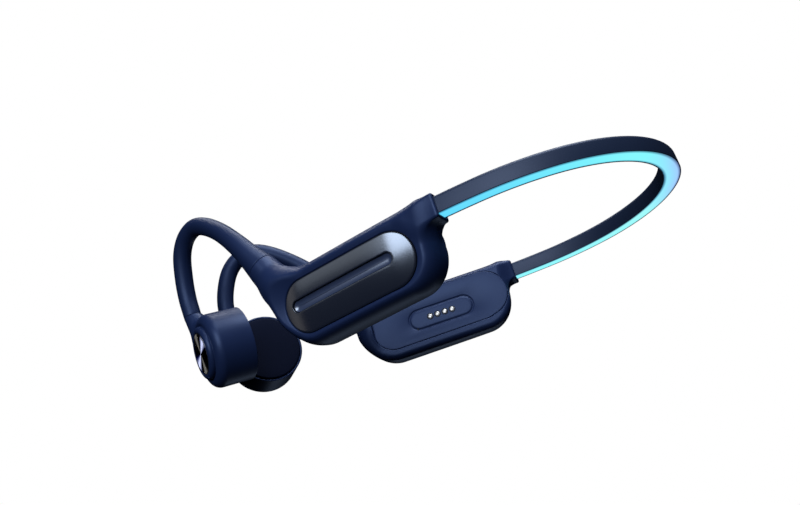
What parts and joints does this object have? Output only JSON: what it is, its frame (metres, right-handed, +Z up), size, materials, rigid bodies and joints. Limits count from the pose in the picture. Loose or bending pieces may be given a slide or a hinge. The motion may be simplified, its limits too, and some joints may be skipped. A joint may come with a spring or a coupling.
{
  "type": "bone conduction headphones",
  "caption": "Open-ear bone conduction headphones: a sprung neckband with a light strip joins side modules, over-ear hooks and round transducer pods with press discs.",
  "frame": {"origin": "bottom centre of the bounding box, on the surface that the two side modules stand on", "axes": "+Z up as worn, -Y the way the wearer faces, +X the wearer's left; the neckband's bend is at +Y"},
  "size_m": [0.0896, 0.1556, 0.0572],
  "materials": {
    "band_silicone": "satin",
    "titanium_wire": "brushed",
    "light_strip": "translucent, lit",
    "cable_jacket": "matte",
    "shell": "soft-touch satin",
    "gasket": "matte",
    "glossy_panel": "high gloss",
    "touch_strip": "satin gloss",
    "circuit_board": "solder mask",
    "ferrule_steel": "machined",
    "hook_silicone": "satin",
    "switch_body": "matte",
    "spun_metal": "circular brushed",
    "exciter_steel": "stamped",
    "magnet": "nickel plated",
    "copper_wire": "enamelled",
    "contact_pad": "satin silicone",
    "microphone_can": "plated",
    "battery_foil": "foil",
    "dock_plate": "satin",
    "contact_plating": "polished"
  },
  "bodies": {
    "band_rear": {"band_sleeve_rear": "band_silicone", "band_wire_rear": "titanium_wire", "light_strip_rear": "light_strip", "signal_cable_rear": "cable_jacket"},
    "left_arm": {"band_sleeve_left": "band_silicone", "band_wire_left": "titanium_wire", "light_strip_left": "light_strip", "signal_cable_left": "cable_jacket", "left_module_shell": "shell", "left_module_cover": "shell", "left_cover_gasket": "gasket", "left_glossy_panel": "glossy_panel", "left_touch_strip": "touch_strip", "left_touch_board": "circuit_board", "left_band_ferrule": "ferrule_steel", "left_hook_ferrule": "ferrule_steel", "left_ear_hook": "hook_silicone", "left_hook_wire": "titanium_wire", "left_hook_cable": "cable_jacket", "left_pod_housing": "shell", "left_button_switch": "switch_body", "left_exciter_yoke": "exciter_steel", "left_exciter_magnet": "magnet", "left_voice_coil": "copper_wire", "left_vibration_plate": "exciter_steel", "left_contact_pad": "contact_pad", "left_microphone": "microphone_can", "left_battery": "battery_foil"},
    "right_arm": {"band_sleeve_right": "band_silicone", "band_wire_right": "titanium_wire", "light_strip_right": "light_strip", "signal_cable_right": "cable_jacket", "right_module_shell": "shell", "right_module_cover": "shell", "right_cover_gasket": "gasket", "right_glossy_panel": "glossy_panel", "right_touch_strip": "touch_strip", "right_touch_board": "circuit_board", "right_band_ferrule": "ferrule_steel", "right_hook_ferrule": "ferrule_steel", "right_ear_hook": "hook_silicone", "right_hook_wire": "titanium_wire", "right_hook_cable": "cable_jacket", "right_pod_housing": "shell", "right_button_switch": "switch_body", "right_exciter_yoke": "exciter_steel", "right_exciter_magnet": "magnet", "right_voice_coil": "copper_wire", "right_vibration_plate": "exciter_steel", "right_contact_pad": "contact_pad", "right_microphone": "microphone_can", "right_main_board": "circuit_board", "dock_plate": "dock_plate", "charging_contacts": "contact_plating", "dock_magnets": "magnet"},
    "left_button": {"left_button_disc": "spun_metal"},
    "right_button": {"right_button_disc": "spun_metal"}
  },
  "joints": [
    {"name": "left_band_flex", "type": "hinge", "parent": "band_rear", "child": "left_arm", "pos_m": [0.02175, 0.07183, 0.01803], "axis": [0, 0, 1], "range_deg": [0, 30], "stiffness_Nm_per_rad": 0.3},
    {"name": "right_band_flex", "type": "hinge", "parent": "band_rear", "child": "right_arm", "pos_m": [-0.02175, 0.07183, 0.01803], "axis": [0, 0, -1], "range_deg": [0, 30], "stiffness_Nm_per_rad": 0.3},
    {"name": "left_button_press", "type": "slide", "parent": "left_arm", "child": "left_button", "axis": [-0.7201, 0.6881, 0.0889], "range_m": [0, 0.00035], "stiffness_N_per_m": 500},
    {"name": "right_button_press", "type": "slide", "parent": "right_arm", "child": "right_button", "axis": [0.7201, 0.6881, 0.0889], "range_m": [0, 0.00035], "stiffness_N_per_m": 500}
  ]
}
